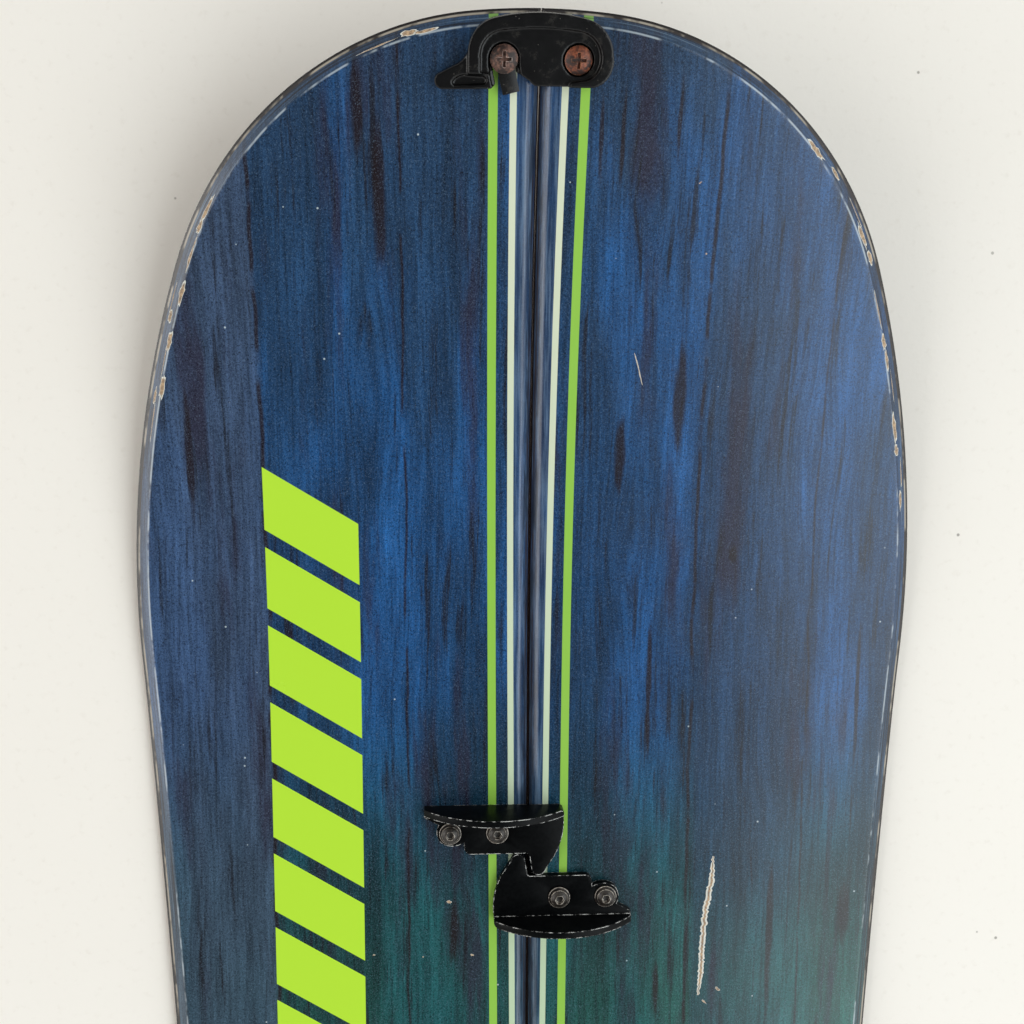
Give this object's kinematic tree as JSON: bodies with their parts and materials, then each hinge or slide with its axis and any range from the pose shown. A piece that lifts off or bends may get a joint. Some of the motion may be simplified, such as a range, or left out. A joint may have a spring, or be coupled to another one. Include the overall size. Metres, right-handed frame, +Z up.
{
  "type": "splitboard",
  "caption": "Snowboard split along its length into two touring halves, locked by hooks across the seam and pivoting clips at tip and tail, with steel edges and binding inserts.",
  "frame": {"origin": "middle of the flat running base, on the seam, where the board rests", "axes": "+Z up out of the topsheet, +Y along the seam to the nose, +X to the right half"},
  "size_m": [0.3034, 1.61, 0.0602],
  "materials": {
    "printed_topsheet": "satin print under a clear sheet",
    "sintered_base": "fine sintered structure",
    "edge_steel": "worn, rust along the arrises",
    "glass_laminate": "resin and glass",
    "wood_core": "planed strips",
    "insert_steel": "bright zinc",
    "black_anodised": "black anodised, worn bright on its arrises",
    "bolt_steel": "dull, lightly stained",
    "nut_steel": "flush with the base",
    "rusted_screw": "rusty",
    "black_moulding": "soft moulded plastic, lightly textured"
  },
  "bodies": {
    "right_half": {"right_topsheet": "printed_topsheet", "right_upper_laminate": "glass_laminate", "right_core": "wood_core", "right_lower_laminate": "glass_laminate", "right_base_sheet": "sintered_base", "right_outer_edge": "edge_steel", "right_inner_edge": "edge_steel", "right_inserts": "insert_steel", "right_front_hook": "black_anodised", "right_rear_hook": "black_anodised", "right_hook_washers": "bolt_steel", "right_hook_bolts": "bolt_steel", "right_hook_tnuts": "nut_steel", "right_clip_tnuts": "nut_steel", "right_tip_pivot_screw": "rusted_screw", "right_tip_pivot_sleeve": "insert_steel", "right_tail_post_screw": "rusted_screw", "right_tail_post_keeper": "black_moulding"},
    "left_half": {"left_topsheet": "printed_topsheet", "left_upper_laminate": "glass_laminate", "left_core": "wood_core", "left_lower_laminate": "glass_laminate", "left_base_sheet": "sintered_base", "left_outer_edge": "edge_steel", "left_inner_edge": "edge_steel", "left_inserts": "insert_steel", "left_front_hook": "black_anodised", "left_rear_hook": "black_anodised", "left_hook_washers": "bolt_steel", "left_hook_bolts": "bolt_steel", "left_hook_tnuts": "nut_steel", "left_clip_tnuts": "nut_steel", "left_tail_pivot_screw": "rusted_screw", "left_tail_pivot_sleeve": "insert_steel", "left_tip_post_screw": "rusted_screw", "left_tip_post_keeper": "black_moulding"},
    "tip_clip": {"tip_clip": "black_moulding"},
    "tail_clip": {"tail_clip": "black_moulding"}
  },
  "joints": [
    {"name": "halves_slide", "type": "slide", "parent": "right_half", "child": "left_half", "axis": [0, 1, 0], "range_m": [0, 0.012]},
    {"name": "tip_clip_pivot", "type": "hinge", "parent": "right_half", "child": "tip_clip", "pos_m": [0.0124, 0.78911, 0.05], "axis": [0, 0.3495, -0.9369], "range_deg": [0, 135]},
    {"name": "tail_clip_pivot", "type": "hinge", "parent": "left_half", "child": "tail_clip", "pos_m": [-0.0124, -0.78911, 0.05], "axis": [0, -0.3495, -0.9369], "range_deg": [0, 135]}
  ],
  "couplings": [
    {"joint": "tip_clip_pivot", "follows": "halves_slide", "rad_per_m": 190},
    {"joint": "tail_clip_pivot", "follows": "halves_slide", "rad_per_m": 190}
  ]
}
